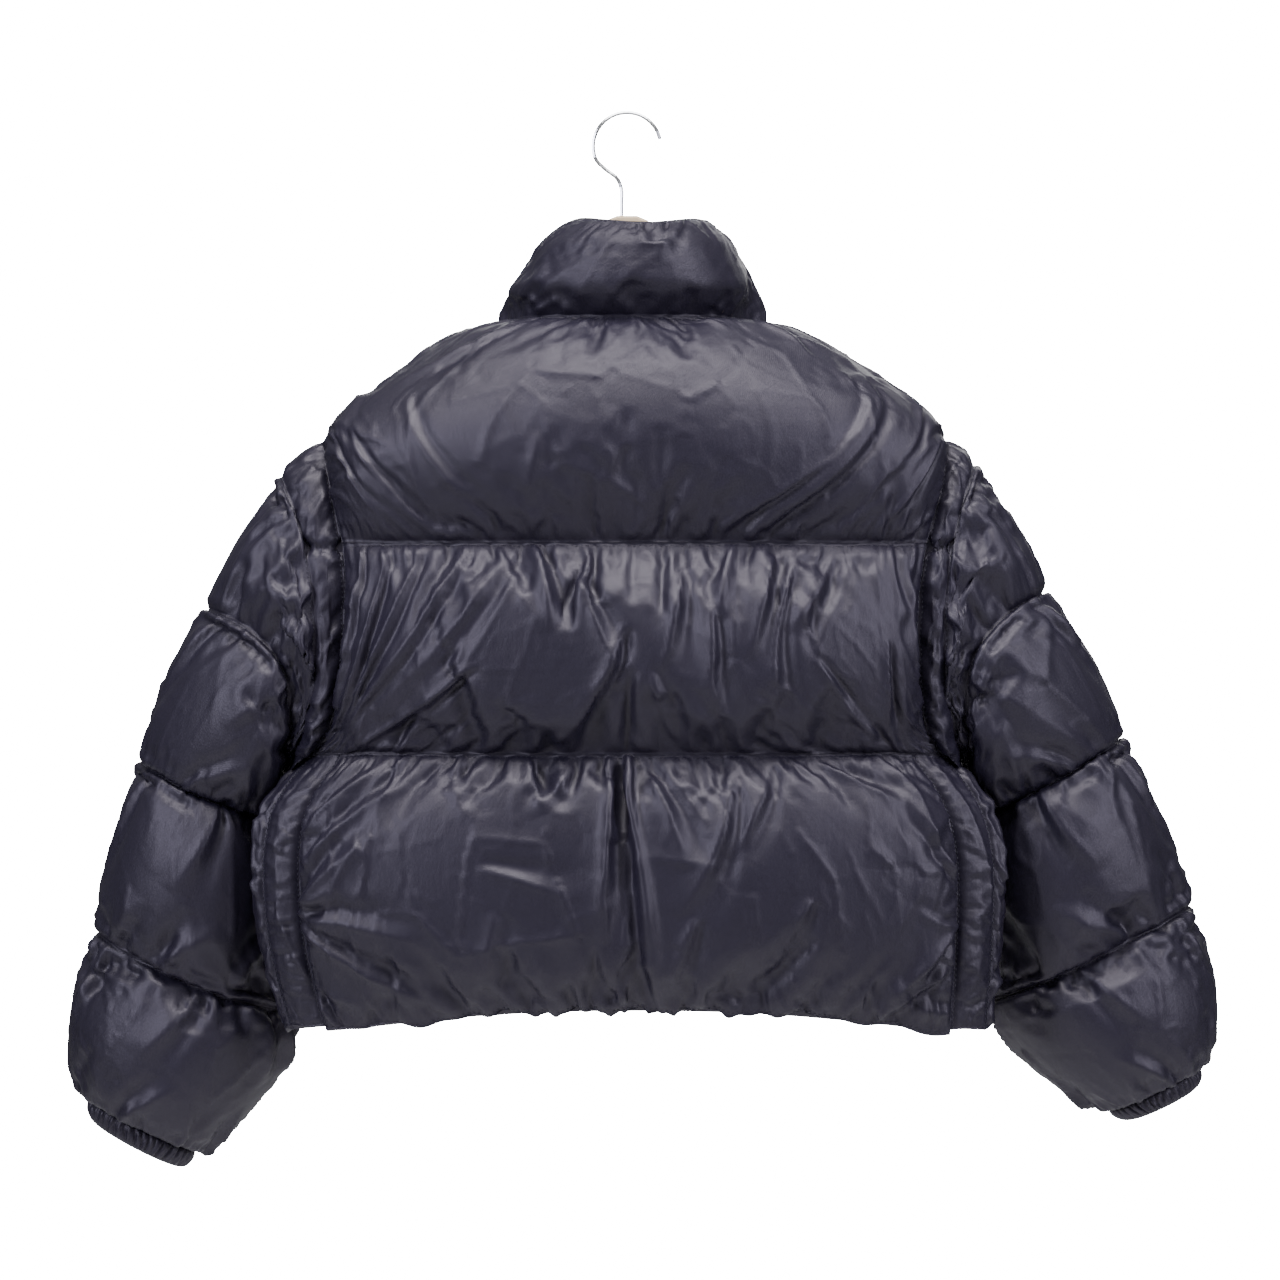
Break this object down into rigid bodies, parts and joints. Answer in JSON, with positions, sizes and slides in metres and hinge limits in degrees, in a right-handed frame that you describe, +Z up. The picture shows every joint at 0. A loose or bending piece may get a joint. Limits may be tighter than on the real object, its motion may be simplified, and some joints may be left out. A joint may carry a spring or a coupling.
{
  "type": "puffer jacket on a hanger",
  "caption": "Short wide quilted down jacket with a stand collar, zip-banded sleeves and elastic cuffs, hanging on a plain hanger with a wire hook.",
  "frame": {"origin": "inner top of the hanger's hook, where it rests on a rail", "axes": "+Z up; the jacket's back faces -Y and its front zip +Y; +X is the wearer's right"},
  "size_m": [0.9277, 0.2509, 0.8514],
  "materials": {
    "shell": "glossy down-proof nylon, very dark navy",
    "cuff": "gathered nylon over elastic",
    "zip_tape": "woven tape with a row of teeth",
    "zip_metal": "dark polished metal",
    "hook_metal": "polished wire",
    "hanger_wood": "plain pale wood, satin"
  },
  "bodies": {
    "jacket": {"back_upper": "shell", "back_middle": "shell", "back_lower": "shell", "front_left_upper": "shell", "front_left_middle": "shell", "front_left_lower": "shell", "front_right_upper": "shell", "front_right_middle": "shell", "front_right_lower": "shell", "side_left": "shell", "side_right": "shell", "collar": "shell", "armhole_band_left": "shell", "armhole_band_right": "shell", "sleeve_left_1": "shell", "sleeve_left_2": "shell", "sleeve_left_3": "shell", "sleeve_left_4": "shell", "sleeve_right_1": "shell", "sleeve_right_2": "shell", "sleeve_right_3": "shell", "sleeve_right_4": "shell", "cuff_left": "cuff", "cuff_right": "cuff", "zip_tape_left": "zip_tape", "zip_tape_right": "zip_tape", "zip_slider": "zip_metal", "hanger_hook": "hook_metal", "hanger_bar": "hanger_wood"},
    "pull_tab": {"zip_pull": "zip_metal"}
  },
  "joints": [
    {"name": "pull_swing", "type": "hinge", "parent": "jacket", "child": "pull_tab", "pos_m": [0, 0.05976, -0.12059], "axis": [1, 0, 0], "range_deg": [0, 150]}
  ]
}
